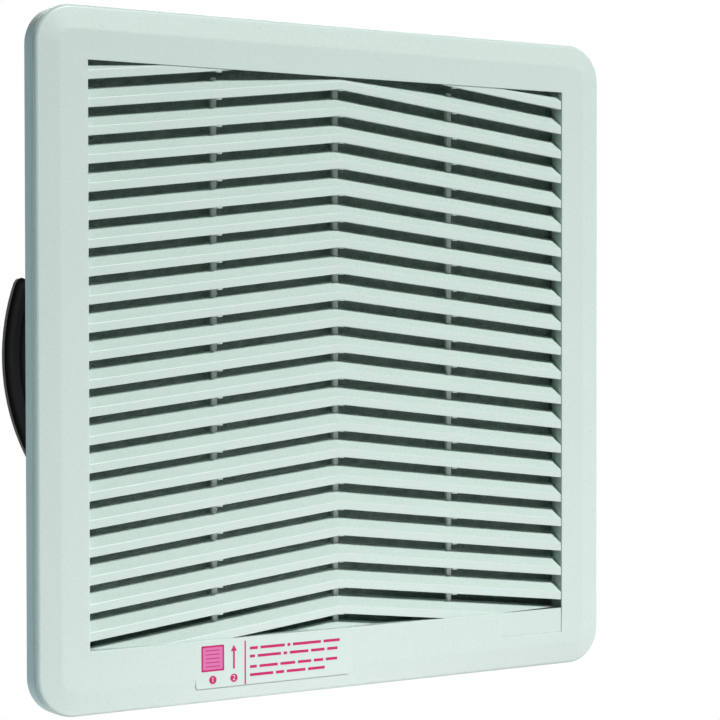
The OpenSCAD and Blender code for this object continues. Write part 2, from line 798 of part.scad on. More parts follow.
module finger_guard()
  color([0.10, 0.10, 0.105]) {
    for (i = [0:guard_rings - 1])
      spun($fn = 40) translate([guard_in_r + i * guard_pitch, guard_y + guard_bar_r + wire_r - 0.5])
        circle(wire_r, $fn = 16);
    for (a = [ear_at:90:360]) round_y(a) {
      translate([guard_in_r - 2, guard_y - guard_bar_r, -guard_bar_r])
        cube([guard_screw_at - guard_eye_r + 1 - guard_in_r + 2, 2 * guard_bar_r, 2 * guard_bar_r]);
      translate([guard_screw_at, guard_y, 0]) difference() {
        rotate([-90, 0, 0]) translate([0, 0, -guard_bar_r])
          cylinder(h = 2 * guard_bar_r, r = guard_eye_r, $fn = 32);
        rotate([-90, 0, 0]) translate([0, 0, -5]) cylinder(h = 10, r = hole_r, $fn = 32);
      }
    }
  }

module guard_screws()
  color([0.70, 0.71, 0.73])
    for (a = [ear_at:90:360]) round_y(a)
      translate([guard_screw_at, guard_y + guard_bar_r, 0]) rotate([-90, 0, 0])
        pan_screw(screw_r, 2 * guard_bar_r + fan_rim_t);

module terminal_box()
  color([0.72, 0.79, 0.77])
    translate([box_x, 0, box_z]) difference() {
      union() {
        difference() {
          slab(tray_back_y, box_back_y) soft_square(box_w / 2, 3);
          slab(tray_back_y + box_t, box_back_y + 1) soft_square(box_w / 2 - box_t, 2);
        }
        for (s = [-1, 1])
          bar_y(s * lid_screw_at, s * lid_screw_at, tray_back_y + box_t - eps, box_back_y - eps, lid_boss_r);
      }
      translate([0, gland_y, -box_w / 2 - 1]) cylinder(h = box_t + 2, r = gland_r + snug);
      for (s = [-1, 1])
        bar_y(s * lid_screw_at, s * lid_screw_at, box_back_y - 8, box_back_y + 1, lid_screw_r + snug);
    }

module box_cover()
  color([0.72, 0.79, 0.77])
    translate([box_x, 0, box_z]) difference() {
      union() {
        slab(box_back_y, box_back_y + box_lid_t) soft_square(box_w / 2, 3);
        slab(box_back_y - 2, box_back_y + 1) difference() {
          soft_square(box_w / 2 - box_t - seat, 2 - seat);
          soft_square(box_w / 2 - 2 * box_t, 1);
        }
      }
      for (s = [-1, 1]) {
        bar_y(s * lid_screw_at, s * lid_screw_at, box_back_y - 3, box_back_y, lid_boss_r + seat);
        bar_y(s * lid_screw_at, s * lid_screw_at, box_back_y - 1, box_back_y + box_lid_t + 1, lid_screw_r + 0.2);
      }
    }

module box_screws()
  color([0.70, 0.71, 0.73])
    for (s = [-1, 1])
      translate([box_x + s * lid_screw_at, box_back_y + box_lid_t, box_z + s * lid_screw_at])
        rotate([-90, 0, 0]) pan_screw(lid_screw_r, 8);

block_z = box_z + box_w / 2 - box_t - block_h / 2 - 7;
pole_pitch = block_w / (poles + 0.5);

module terminal_block()
  color([0.85, 0.85, 0.80])
    difference() {
      translate([box_x - block_w / 2, tray_back_y + box_t, block_z - block_h / 2])
        cube([block_w, block_d, block_h]);
      for (i = [0:poles - 1]) {
        x = box_x + (i - (poles - 1) / 2) * pole_pitch;
        bar_y(x, block_z, tray_back_y + box_t + 6, tray_back_y + box_t + block_d + 1, 2.4);
        translate([x, tray_back_y + box_t + 4, block_z - block_h / 2 - 1])
          cylinder(h = block_h + 2, r = 1.6);
      }
    }

module terminal_screws()
  color([0.75, 0.72, 0.55])
    for (i = [0:poles - 1])
      translate([box_x + (i - (poles - 1) / 2) * pole_pitch, tray_back_y + box_t + 6, block_z])
        rotate([-90, 0, 0]) difference() {
          cylinder(h = 4, r = 2.3);
          translate([-3, -0.4, 3]) cube([6, 0.8, 2]);
        }

gland_z = box_z - box_w / 2;

// Cable gland through the box's lower wall, its mouth downwards
module gland_body()
  color([0.55, 0.57, 0.58])
    translate([box_x, gland_y, gland_z])
      difference() {
        union() {
          translate([0, 0, -4]) cylinder(h = 4, r = gland_hex_r, $fn = 6);
          translate([0, 0, -gland_l]) cylinder(h = gland_l + box_t + 3, r = gland_r);
        }
        translate([0, 0, -gland_l - 1]) cylinder(h = gland_l + box_t + 5, r = cable_r);
      }

module gland_nut()
  color([0.55, 0.57, 0.58])
    translate([box_x, gland_y, gland_z])
      difference() {
        union() {
          translate([0, 0, -gland_l - 1.5]) cylinder(h = gland_l - 4 + 1.5 - seat, r = gland_hex_r, $fn = 12);
          translate([0, 0, -gland_l - 4]) cylinder(h = 2.5 + eps, r1 = gland_hex_r - 3, r2 = gland_hex_r - 1);
        }
        translate([0, 0, -gland_l]) cylinder(h = gland_l, r = gland_r + snug);
        translate([0, 0, -gland_l - 5]) cylinder(h = 6, r = cable_r);
      }

front_cover();
latch_tongue();
filter_mat();
filter_grid();
panel_frame();
panel_seal();
clip_saddles();
clip_rivets();
panel_clip_left();
panel_clip_right();
panel_clip_top();
panel_clip_bottom();
fan_duct();
duct_screws();
fan_housing();
motor_mount();
fan_screws();
fan_nuts();
stator_core();
stator_winding();
bearing_front();
bearing_rear();
motor_shaft();
retaining_ring();
rotor_can();
impeller();
finger_guard();
guard_screws();
terminal_box();
box_cover();
box_screws();
terminal_block();
terminal_screws();
gland_body();
gland_nut();
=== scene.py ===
"""Looks of a louvred filter fan: the moulded front, its label and the finish of every piece."""

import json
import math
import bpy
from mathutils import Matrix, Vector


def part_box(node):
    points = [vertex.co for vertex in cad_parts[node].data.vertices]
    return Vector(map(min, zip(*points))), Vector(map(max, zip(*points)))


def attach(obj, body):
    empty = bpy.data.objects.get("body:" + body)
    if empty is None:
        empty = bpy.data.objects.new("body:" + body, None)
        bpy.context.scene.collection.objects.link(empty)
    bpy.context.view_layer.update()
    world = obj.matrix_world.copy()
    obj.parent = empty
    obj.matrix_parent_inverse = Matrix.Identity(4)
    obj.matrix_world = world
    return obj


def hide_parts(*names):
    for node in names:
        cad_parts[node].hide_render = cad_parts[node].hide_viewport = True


bl_info = {
    "name": "Louvred filter fan",
    "version": (1, 0, 0),
    "blender": (4, 5, 0),
    "location": "View3D > Sidebar > Filter fan",
    "description": "Builds the moulded front, the label and the finishes of a filter fan",
    "category": "Object",
}

import bmesh
import bpy
from mathutils import Matrix, Vector

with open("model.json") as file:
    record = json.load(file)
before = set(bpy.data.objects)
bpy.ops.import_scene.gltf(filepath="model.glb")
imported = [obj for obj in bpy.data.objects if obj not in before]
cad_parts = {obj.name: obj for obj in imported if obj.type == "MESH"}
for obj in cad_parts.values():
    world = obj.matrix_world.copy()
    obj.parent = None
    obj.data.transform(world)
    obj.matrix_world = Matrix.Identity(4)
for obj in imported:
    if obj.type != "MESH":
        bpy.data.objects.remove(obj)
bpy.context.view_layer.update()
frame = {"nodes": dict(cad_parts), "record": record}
cover_low, cover_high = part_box("front_cover")

MM = 0.001
HALF = cover_high.x
FACE_Y = cover_low.y
# Points closer than this are one, and places closer than NEAR count as the same place
SAME = 1e-6
NEAR = 1e-5
WHITE = (1.0, 1.0, 1.0, 1.0)
# Stands a sheet that lies in X and Y upright on the face
UPRIGHT = Matrix.Rotation(math.radians(90), 4, "X")


# Sizes and colours that a user would change


def length(name, description, default):
    return bpy.props.FloatProperty(
        name=name, description=description, default=default * MM, min=0.0, unit="LENGTH"
    )


def colour(name, description, default):
    return bpy.props.FloatVectorProperty(
        name=name, description=description, default=default, size=3, min=0.0, max=1.0, subtype="COLOR"
    )


def power(name, description, default):
    return bpy.props.FloatProperty(name=name, description=description, default=default, min=0.0, unit="POWER")


class CoverSizes(bpy.types.PropertyGroup):
    """Sizes of the front cover."""

    corner: length("Corner radius", "Radius of the cover's outer corners", 18.5)
    band: length("Band width", "Width of the sloped outer band", 11.5)
    crown: length("Crown", "How far the face stands proud of the outer edge", 1.6)
    skirt: length("Skirt", "Depth of the skirt behind the outer edge", 4.55)
    wall: length("Wall", "Wall of the moulding", 2.0)
    rim: length("Rim fillet", "Run of the fillet round the outer edge", 1.7)
    ridge: length("Ridge rounding", "Rounding between the sloped band and the face", 0.8)
    open_half: length("Opening half width", "Half the width of the louvre opening", 136.9)
    open_top: length("Opening top", "Height of the opening's top edge over the middle", 137.4)
    open_bottom: length("Opening bottom", "Depth of the opening's bottom edge under the middle", 132.7)
    recess: length("Recess", "How far the slats lie behind the face", 0.6)
    collar: length("Collar", "Depth of the wall round the opening behind the slats' fronts", 7.9)
    pocket_width: length("Pocket width", "Width of the shallow pocket at the bottom right", 40.2)
    pocket_height: length("Pocket height", "Height of the shallow pocket", 12.7)


class SlatSizes(bpy.types.PropertyGroup):
    """Sizes of the louvre slats."""

    pitch: length("Pitch", "Height from one slat to the next", 12.85)
    phase: length("Phase", "Height of the lip nearest the middle", 2.8)
    lip: length("Lip height", "Height of a slat's upright front lip", 4.15)
    height: length("Slat height", "Height of a whole slat", 9.5)
    depth: length("Slat depth", "Depth of a slat", 6.8)
    wall: length("Slat wall", "Thickness of a slat", 1.8)
    edge: length("Edge rounding", "Rounding of a slat's edges", 0.3)
    top_fall: bpy.props.FloatProperty(
        name="Top fall", description="Fall of the slats' top end for each unit of depth", default=0.62
    )
    slope: bpy.props.FloatProperty(
        name="Slope", description="Fall of a slat for each unit of run to the side", default=0.11506
    )
    rib: length("Rib width", "Width of the upright ribs", 2.8)
    rib_depth: length("Rib depth", "Depth of the upright ribs", 2.2)
    foot: length("Foot", "Height of the small foot under each lip", 0.45)


class Finishes(bpy.types.PropertyGroup):
    """Colours of the finishes."""

    cover: colour("Cover", "Pale grey plastic of the front", (0.58, 0.70, 0.65))
    frame: colour("Frame", "Grey plastic of the frame behind the cover", (0.53, 0.63, 0.60))
    # The narrow side is the same moulding as the face; its darker colour here is painted shade
    skirt: colour("Skirt", "Cover plastic darkened on its narrow side as painted shade", (0.44, 0.57, 0.50))
    ink: colour("Ink", "Print on the label", (0.50, 0.006, 0.12))
    tint: colour("Tint", "Lighter print on the label", (0.60, 0.16, 0.38))
    mat: colour("Mat", "Dark fibres of the filter mat", (0.24, 0.33, 0.285))


class LabelSizes(bpy.types.PropertyGroup):
    """Place and print of the clear label under the louvres."""

    left: length("Left edge", "Distance of the label's left edge from the middle", 82.0)
    right: length("Right edge", "Distance of the label's right edge from the middle", 5.0)
    top: length("Top edge", "Distance of the label's top edge below the middle", 133.6)
    bottom: length("Bottom edge", "Distance of the label's bottom edge below the middle", 155.4)
    rounding: length("Rounding", "Radius of the label's corners", 1.5)
    layer: length("Layer", "Step in depth from the face to the film and from print to print", 0.02)
    thin: length("Thin line", "Width of the drawing's thin lines", 0.45)
    outline: length("Outline", "Width of the drawing's outline", 0.9)
    arrow: length("Arrow", "Width of the arrow's shaft", 1.0)
    divider: length("Divider", "Width of the line between drawing and words", 0.75)
    bar: length("Bar", "Height of the bars in place of words", 1.35)
    dot: length("Dot", "Radius of the numbered dots and of the arrow's head", 2.0)
    number: length("Number", "Size of the numbers", 3.6)


class StageLook(bpy.types.PropertyGroup):
    """Light, floor and camera."""

    key_power: power("Key power", "Lamp high at the front right", 41.0)
    fill_power: power("Fill power", "Lamp low in front", 0.08)
    warm_power: power("Warm power", "Small lamp low at the front right", 0.36)
    side_power: power("Side power", "Cool lamp at the left, behind the face", 7.6)
    back_power: power("Back power", "Lamp behind the fan", 30.0)
    floor: colour("Floor", "Colour of the floor", (0.80, 0.82, 0.82))
    floor_drop: length("Floor drop", "How far the floor lies under the fan's middle", 900.0)
    floor_near: length("Fade start", "Distance from the fan's middle where the floor turns paler", 350.0)
    floor_far: length("Fade end", "Distance from there where the floor is as white as the background", 1250.0)
    lens: bpy.props.FloatProperty(
        name="Lens", description="Focal length of the camera", default=109.653, unit="CAMERA"
    )


# Shared shader effects


def node_group(name, sockets_in, sockets_out):
    """A new shader group with named sockets; returns it and its two end nodes."""
    group = bpy.data.node_groups.new(name, "ShaderNodeTree")
    for label, kind, value in sockets_in:
        socket = group.interface.new_socket(name=label, in_out="INPUT", socket_type=kind)
        if value is not None:
            socket.default_value = value
    for label, kind in sockets_out:
        group.interface.new_socket(name=label, in_out="OUTPUT", socket_type=kind)
    return group, group.nodes.new("NodeGroupInput"), group.nodes.new("NodeGroupOutput")


def grain_group():
    """Fine spark-eroded grain: a height for a bump and a slight shade."""
    group = bpy.data.node_groups.get("Moulded grain")
    if group:
        return group
    group, into, out = node_group(
        "Moulded grain",
        [("Vector", "NodeSocketVector", None), ("Fine scale", "NodeSocketFloat", 1800.0),
         ("Broad scale", "NodeSocketFloat", 25.0)],
        [("Height", "NodeSocketFloat"), ("Shade", "NodeSocketFloat")],
    )
    nodes, links = group.nodes, group.links
    fine, broad = nodes.new("ShaderNodeTexNoise"), nodes.new("ShaderNodeTexNoise")
    fine.inputs["Detail"].default_value = 2.0
    fine.inputs["Roughness"].default_value = 0.6
    broad.inputs["Detail"].default_value = 3.0
    for noise, scale in ((fine, "Fine scale"), (broad, "Broad scale")):
        links.new(into.outputs["Vector"], noise.inputs["Vector"])
        links.new(into.outputs[scale], noise.inputs["Scale"])
    shade = nodes.new("ShaderNodeMapRange")
    shade.inputs["From Min"].default_value = 0.3
    shade.inputs["From Max"].default_value = 0.7
    links.new(broad.outputs["Fac"], shade.inputs["Value"])
    links.new(fine.outputs["Fac"], out.inputs["Height"])
    links.new(shade.outputs["Result"], out.inputs["Shade"])
    return group


def surface(name, base, dark, roughness, metallic=0.0, fine=1800.0, broad=25.0, bump=0.1, bump_depth=0.05,
            soft_edges=0.0, specular=0.5, rough_spread=0.06):
    """A finish with moulded grain, slight mottling between two colours and, where asked for, soft edges."""
    material = bpy.data.materials.get(name)
    if material:
        return material
    material = bpy.data.materials.new(name)
    material.use_nodes = True
    material.diffuse_color = (*base, 1.0)
    nodes, links = material.node_tree.nodes, material.node_tree.links
    shader = nodes["Principled BSDF"]
    place = nodes.new("ShaderNodeTexCoord")
    grain = nodes.new("ShaderNodeGroup")
    grain.node_tree = grain_group()
    grain.inputs["Fine scale"].default_value = fine
    grain.inputs["Broad scale"].default_value = broad
    links.new(place.outputs["Object"], grain.inputs["Vector"])
    shader.inputs["Base Color"].default_value = (*base, 1.0)
    if dark != base:
        tint = nodes.new("ShaderNodeMix")
        tint.data_type = "RGBA"
        tint.inputs["A"].default_value = (*dark, 1.0)
        tint.inputs["B"].default_value = (*base, 1.0)
        links.new(grain.outputs["Shade"], tint.inputs["Factor"])
        links.new(tint.outputs["Result"], shader.inputs["Base Color"])
    rough = nodes.new("ShaderNodeMapRange")
    rough.inputs["From Min"].default_value = 0.35
    rough.inputs["From Max"].default_value = 0.65
    rough.inputs["To Min"].default_value = roughness + rough_spread
    rough.inputs["To Max"].default_value = roughness - rough_spread
    links.new(grain.outputs["Height"], rough.inputs["Value"])
    links.new(rough.outputs["Result"], shader.inputs["Roughness"])
    shader.inputs["Metallic"].default_value = metallic
    shader.inputs["Specular IOR Level"].default_value = specular
    relief = nodes.new("ShaderNodeBump")
    relief.inputs["Strength"].default_value = bump
    relief.inputs["Distance"].default_value = bump_depth * MM
    links.new(grain.outputs["Height"], relief.inputs["Height"])
    if soft_edges:
        edges = nodes.new("ShaderNodeBevel")
        edges.samples = 4
        edges.inputs["Radius"].default_value = soft_edges * MM
        links.new(edges.outputs["Normal"], relief.inputs["Normal"])
    links.new(relief.outputs["Normal"], shader.inputs["Normal"])
    return material


def finishes():
    """Every finish by the record's slot name."""
    look = bpy.context.scene.fan_finishes
    cover, back, skirt, fibre = tuple(look.cover), tuple(look.frame), tuple(look.skirt), tuple(look.mat)

    def darker(paint, share):
        return tuple(value * share for value in paint)

    return {
        "grey_plastic": surface("Grey front plastic", cover, darker(cover, 0.985), 0.38, fine=1300, bump=1.0,
                                bump_depth=0.035, rough_spread=0.2),
        # The cover's plastic made darker for its narrow side: painted shade, not a plastic of its own
        "skirt_painted_shade": surface("Skirt plastic with painted shade", skirt, darker(skirt, 0.985), 0.55, bump=0.3,
                                 bump_depth=0.04),
        "frame_plastic": surface("Grey frame plastic", back, darker(back, 0.97), 0.55, bump=0.3,
                                 bump_depth=0.04, soft_edges=0.4),
        "black_plastic": surface("Black plastic", (0.006, 0.006, 0.007), (0.004, 0.004, 0.005), 0.42,
                                 bump=0.15, soft_edges=0.3, specular=0.2),
        "seal_foam": surface("Foam", (0.03, 0.03, 0.032), (0.015, 0.015, 0.016), 0.9, fine=900, bump=0.8,
                             bump_depth=0.2),
        "filter_fibre": surface("Filter fibre", fibre, darker(fibre, 0.75), 0.95, fine=700, broad=200,
                                bump=1.0, bump_depth=0.8),
        "spring_steel": surface("Spring steel", (0.50, 0.51, 0.53), (0.42, 0.43, 0.45), 0.28, metallic=1.0,
                                fine=300, bump=0.05, soft_edges=0.15),
        "zinc_steel": surface("Zinc-plated steel", (0.66, 0.67, 0.70), (0.56, 0.57, 0.58), 0.25, metallic=1.0,
                              fine=400, bump=0.05, soft_edges=0.15),
        "guard_steel": surface("Coated wire", (0.012, 0.012, 0.013), (0.008, 0.008, 0.009), 0.38, bump=0.1),
        "rotor_coat": surface("Coated rotor", (0.014, 0.014, 0.015), (0.009, 0.009, 0.01), 0.45, bump=0.2,
                              soft_edges=0.4),
        "core_steel": surface("Core sheets", (0.22, 0.22, 0.23), (0.13, 0.13, 0.14), 0.5, metallic=1.0),
        "copper_wire": surface("Copper wire", (0.45, 0.16, 0.05), (0.30, 0.10, 0.03), 0.35, metallic=0.8,
                               fine=1200, bump=0.6, bump_depth=0.3),
        "bearing_steel": surface("Ground steel", (0.62, 0.63, 0.65), (0.55, 0.56, 0.58), 0.15, metallic=1.0,
                                 bump=0.02),
        "terminal_plastic": surface("Terminal plastic", (0.72, 0.71, 0.64), (0.66, 0.65, 0.58), 0.4),
        "screw_brass": surface("Brass", (0.60, 0.44, 0.17), (0.50, 0.35, 0.12), 0.3, metallic=1.0),
        "gland_plastic": surface("Gland plastic", (0.21, 0.23, 0.24), (0.17, 0.19, 0.20), 0.5, bump=0.2,
                                 soft_edges=0.3),
    }


# Shaping helpers


def verts_of(geom):
    """The points in what an operator made."""
    return [g for g in geom if isinstance(g, bmesh.types.BMVert)]


def edges_of(geom):
    """The edges in what an operator made."""
    return [g for g in geom if isinstance(g, bmesh.types.BMEdge)]


def chain(bm, points, closed=False):
    """A run of edges through the points; returns the edges."""
    verts = [bm.verts.new(p) for p in points]
    pairs = list(zip(verts, verts[1:] + verts[:1] if closed else verts[1:]))
    return [bm.edges.new(pair) for pair in pairs]


def push(bm, edges, vec):
    """Extrudes edges and moves the new ones; returns them."""
    made = bmesh.ops.extrude_edge_only(bm, edges=edges)["geom"]
    bmesh.ops.translate(bm, verts=verts_of(made), vec=vec)
    return edges_of(made)


def block(bm, low, high):
    """A box from its two corners."""
    low, high = Vector(low), Vector(high)
    place = Matrix.Translation((low + high) / 2) @ Matrix.Diagonal((*(high - low), 1.0))
    bmesh.ops.create_cube(bm, size=1.0, matrix=place)


def soften(bm, edges, offset, segments=2):
    """Rounds edges off."""
    bmesh.ops.bevel(bm, geom=edges, offset=offset, offset_type="OFFSET", segments=segments, profile=0.5,
                    affect="EDGES", material=-1, clamp_overlap=True)


def trim(bm, place, way):
    """Cuts everything away beyond a plane and closes the cut ends."""
    everything = bm.verts[:] + bm.edges[:] + bm.faces[:]
    cut = bmesh.ops.bisect_plane(bm, geom=everything, dist=0.1 * SAME, plane_co=place, plane_no=way,
                                 clear_outer=True)["geom_cut"]
    bmesh.ops.holes_fill(bm, edges=edges_of(cut), sides=0)


def piece(name, bm, slot_name, body, stands_for=(), angle=32.0, outwards=True, material=None):
    """Makes a finished object of a bmesh, at the origin, sets it on its body and hides the CAD parts it
    stands for.
    """
    if outwards:
        bmesh.ops.recalc_face_normals(bm, faces=bm.faces[:])
    mesh = bpy.data.meshes.new(name)
    bm.to_mesh(mesh)
    bm.free()
    mesh.polygons.foreach_set("use_smooth", [True] * len(mesh.polygons))
    mesh.set_sharp_from_angle(angle=math.radians(angle))
    mesh.materials.append(material or finishes()[slot_name])
    obj = bpy.data.objects.new(name, mesh)
    bpy.context.scene.collection.objects.link(obj)
    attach(obj, body)
    if stands_for:
        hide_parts(*stands_for)
    return obj


def even_shading(obj):
    """Keeps broad flat faces flat beside their rounded edges."""
    shading = obj.modifiers.new("Even shading", "WEIGHTED_NORMAL")
    shading.keep_sharp = True


def thicken(obj, thickness):
    """Gives a shell its wall, inwards."""
    wall = obj.modifiers.new("Wall", "SOLIDIFY")
    wall.thickness = thickness
    wall.offset = -1.0


def corner_inset(co, half, radius):
    """How far a point lies inside the rounded square outline, in X and Z."""
    dx, dz = abs(co.x) - (half - radius), abs(co.z) - (half - radius)
    return radius - math.hypot(max(dx, 0.0), max(dz, 0.0)) - min(max(dx, dz), 0.0)


def run_round(bm, section, start):
    """Runs a section of (outwards, depth) points round the square with rounded corners."""
    corner_steps = 12
    run = chain(bm, [(start + x, y, -start) for x, y in section])
    for side in range(4):
        turn = Matrix.Rotation(math.radians(-90 * side), 3, "Y")
        run = push(bm, run, turn @ Vector((0, 0, 2 * start)))
        ends = list(dict.fromkeys(v for e in run for v in e.verts))
        made = bmesh.ops.spin(
            bm, geom=run + ends, cent=turn @ Vector((start, 0, start)),
            axis=(0, -1, 0), dvec=(0, 0, 0), angle=math.radians(90), steps=corner_steps, use_merge=False,
            use_normal_flip=False, use_duplicate=False,
        )
        run = edges_of(made["geom_last"])
    bmesh.ops.remove_doubles(bm, verts=bm.verts[:], dist=SAME)


def ring_edges(bm, inset, y, half, radius):
    """Edges that run round the cover at one inset and depth."""

    def near(v):
        return abs(corner_inset(v.co, half, radius) - inset) < NEAR and abs(v.co.y - y) < NEAR

    return [e for e in bm.edges if all(near(v) for v in e.verts)]


def stroke(bm, start, end, width, depth):
    """A flat printed line between two places on the face, each given as X and Z."""
    run = Vector((end[0] - start[0], 0, end[1] - start[1]))
    middle = Vector(((start[0] + end[0]) / 2, depth, (start[1] + end[1]) / 2))
    turn = Matrix.Rotation(math.atan2(-run.z, run.x), 4, "Y")
    size = Matrix.Diagonal((run.length, 1.0, width, 1.0))
    bmesh.ops.create_grid(bm, x_segments=1, y_segments=1, size=0.5,
                          matrix=Matrix.Translation(middle) @ turn @ size @ UPRIGHT)


def disc(bm, centre, radius, depth, corners=32):
    """A flat printed disc or, with three corners, an arrow's head."""
    place = Matrix.Translation((centre[0], depth, centre[1])) @ UPRIGHT
    bmesh.ops.create_circle(bm, cap_ends=True, segments=corners, radius=radius, matrix=place)


def bent_line(bm, points, width, depth):
    """A printed line through several places, with round corners."""
    for start, end in zip(points, points[1:]):
        stroke(bm, start, end, width, depth)
    for point in points[1:-1]:
        disc(bm, point, width / 2, depth, corners=12)


def numeral(bm, text, centre, size, depth):
    """A plain number, centred at a place on the face."""
    curve = bpy.data.curves.new("numeral", "FONT")
    curve.body = text
    curve.size = size
    curve.align_x, curve.align_y = "CENTER", "CENTER"
    holder = bpy.data.objects.new("numeral", curve)
    mesh = bpy.data.meshes.new_from_object(holder)
    before = len(bm.verts)
    bm.from_mesh(mesh)
    bm.verts.ensure_lookup_table()
    place = Matrix.Translation((centre[0], depth, centre[1])) @ UPRIGHT
    bmesh.ops.transform(bm, matrix=place, verts=bm.verts[before:])
    bpy.data.objects.remove(holder)
    bpy.data.meshes.remove(mesh)
    bpy.data.curves.remove(curve)


# Stage helpers


def background_rays(nodes, links):
    """A mask of one for a ray that shows the background: seen, through clear pieces or in a reflection."""
    rays = nodes.new("ShaderNodeLightPath")
    mask = rays.outputs["Is Camera Ray"]
    for kind in ("Is Transmission Ray", "Is Glossy Ray"):
        either = nodes.new("ShaderNodeMath")
        either.operation = "MAXIMUM"
        links.new(mask, either.inputs[0])
        links.new(rays.outputs[kind], either.inputs[1])
        mask = either.outputs["Value"]
    return mask


def white_background():
    """A world that is white where it is seen and gives no light."""
    world = bpy.data.worlds.new("Studio")
    world.use_nodes = True
    nodes, links = world.node_tree.nodes, world.node_tree.links
    white = nodes["Background"]
    white.inputs["Color"].default_value = WHITE
    links.new(background_rays(nodes, links), white.inputs["Strength"])
    return world


def floor_finish(look):
    """Pale floor that fades into the white background with the distance and is clear from below."""
    material = bpy.data.materials.new("Pale floor")
    material.use_nodes = True
    nodes, links = material.node_tree.nodes, material.node_tree.links
    plain = nodes["Principled BSDF"]
    plain.inputs["Base Color"].default_value = (*look.floor, 1.0)
    plain.inputs["Roughness"].default_value = 0.8
    place = nodes.new("ShaderNodeTexCoord")
    away = nodes.new("ShaderNodeVectorMath")
    away.operation = "LENGTH"
    links.new(place.outputs["Object"], away.inputs[0])
    fade = nodes.new("ShaderNodeMapRange")
    fade.interpolation_type = "SMOOTHSTEP"
    fade.inputs["From Min"].default_value = look.floor_near
    fade.inputs["From Max"].default_value = look.floor_far
    links.new(away.outputs["Value"], fade.inputs["Value"])
    share = nodes.new("ShaderNodeMath")
    share.operation = "MULTIPLY"
    links.new(background_rays(nodes, links), share.inputs[0])
    links.new(fade.outputs["Result"], share.inputs[1])
    glow = nodes.new("ShaderNodeEmission")
    glow.inputs["Color"].default_value = WHITE
    faded = nodes.new("ShaderNodeMixShader")
    links.new(share.outputs["Value"], faded.inputs["Fac"])
    links.new(plain.outputs["BSDF"], faded.inputs[1])
    links.new(glow.outputs["Emission"], faded.inputs[2])
    facing = nodes.new("ShaderNodeNewGeometry")
    clear = nodes.new("ShaderNodeBsdfTransparent")
    one_way = nodes.new("ShaderNodeMixShader")
    links.new(facing.outputs["Backfacing"], one_way.inputs["Fac"])
    links.new(faded.outputs["Shader"], one_way.inputs[1])
    links.new(clear.outputs["BSDF"], one_way.inputs[2])
    links.new(one_way.outputs["Shader"], nodes["Material Output"].inputs["Surface"])
    return material


def floor_plane(look):
    """The floor, as one flat sheet."""
    spare = 1.2
    bm = bmesh.new()
    bmesh.ops.create_grid(bm, x_segments=1, y_segments=1, size=look.floor_far * spare)
    bmesh.ops.translate(bm, verts=bm.verts[:], vec=(0, 0, -look.floor_drop))
    mesh = bpy.data.meshes.new("floor")
    bm.to_mesh(mesh)
    bm.free()
    mesh.materials.append(floor_finish(look))
    floor = bpy.data.objects.new("floor", mesh)
    bpy.context.scene.collection.objects.link(floor)
    return floor


def from_angle(side, up, distance):
    """A place given by its angles to the right of the front and upwards, in degrees, and its distance."""
    side, up = math.radians(side), math.radians(up)
    flat = distance * math.cos(up)
    return flat * math.sin(side), -flat * math.cos(side), distance * math.sin(up)


def lamp(name, place, aim, width, spread, watts, tint):
    """A square lamp at a place, turned to another."""
    light = bpy.data.lights.new(name, "AREA")
    light.shape = "SQUARE"
    light.size = width
    light.spread = math.radians(spread)
    light.energy = watts
    light.color = tint
    obj = bpy.data.objects.new(name, light)
    obj.location = place
    obj.rotation_euler = (Vector(aim) - Vector(place)).to_track_quat("-Z", "Y").to_euler()
    obj.visible_camera = False
    bpy.context.scene.collection.objects.link(obj)
    return obj


def photo_camera(look):
    """The camera, where the photograph was taken from."""
    place = Vector((-0.580237, -0.918567, 0.019309))
    yaw, pitch, roll = 0.578395, -0.018866, 0.001324
    camera = bpy.data.cameras.new("camera")
    camera.lens = look.lens
    camera.sensor_fit = "HORIZONTAL"
    camera.sensor_width = 36.0
    camera.clip_start, camera.clip_end = 0.05, 50.0
    forward = Vector((math.sin(yaw) * math.cos(pitch), math.cos(yaw) * math.cos(pitch), math.sin(pitch)))
    right = Vector((math.cos(yaw), -math.sin(yaw), 0.0))
    down = forward.cross(right)
    across = right * math.cos(roll) + down * math.sin(roll)
    down = down * math.cos(roll) - right * math.sin(roll)
    view = bpy.data.objects.new("camera", camera)
    view.matrix_world = Matrix.Translation(place) @ Matrix((across, -down, -forward)).transposed().to_4x4()
    bpy.context.scene.collection.objects.link(view)
    return view


# The pieces


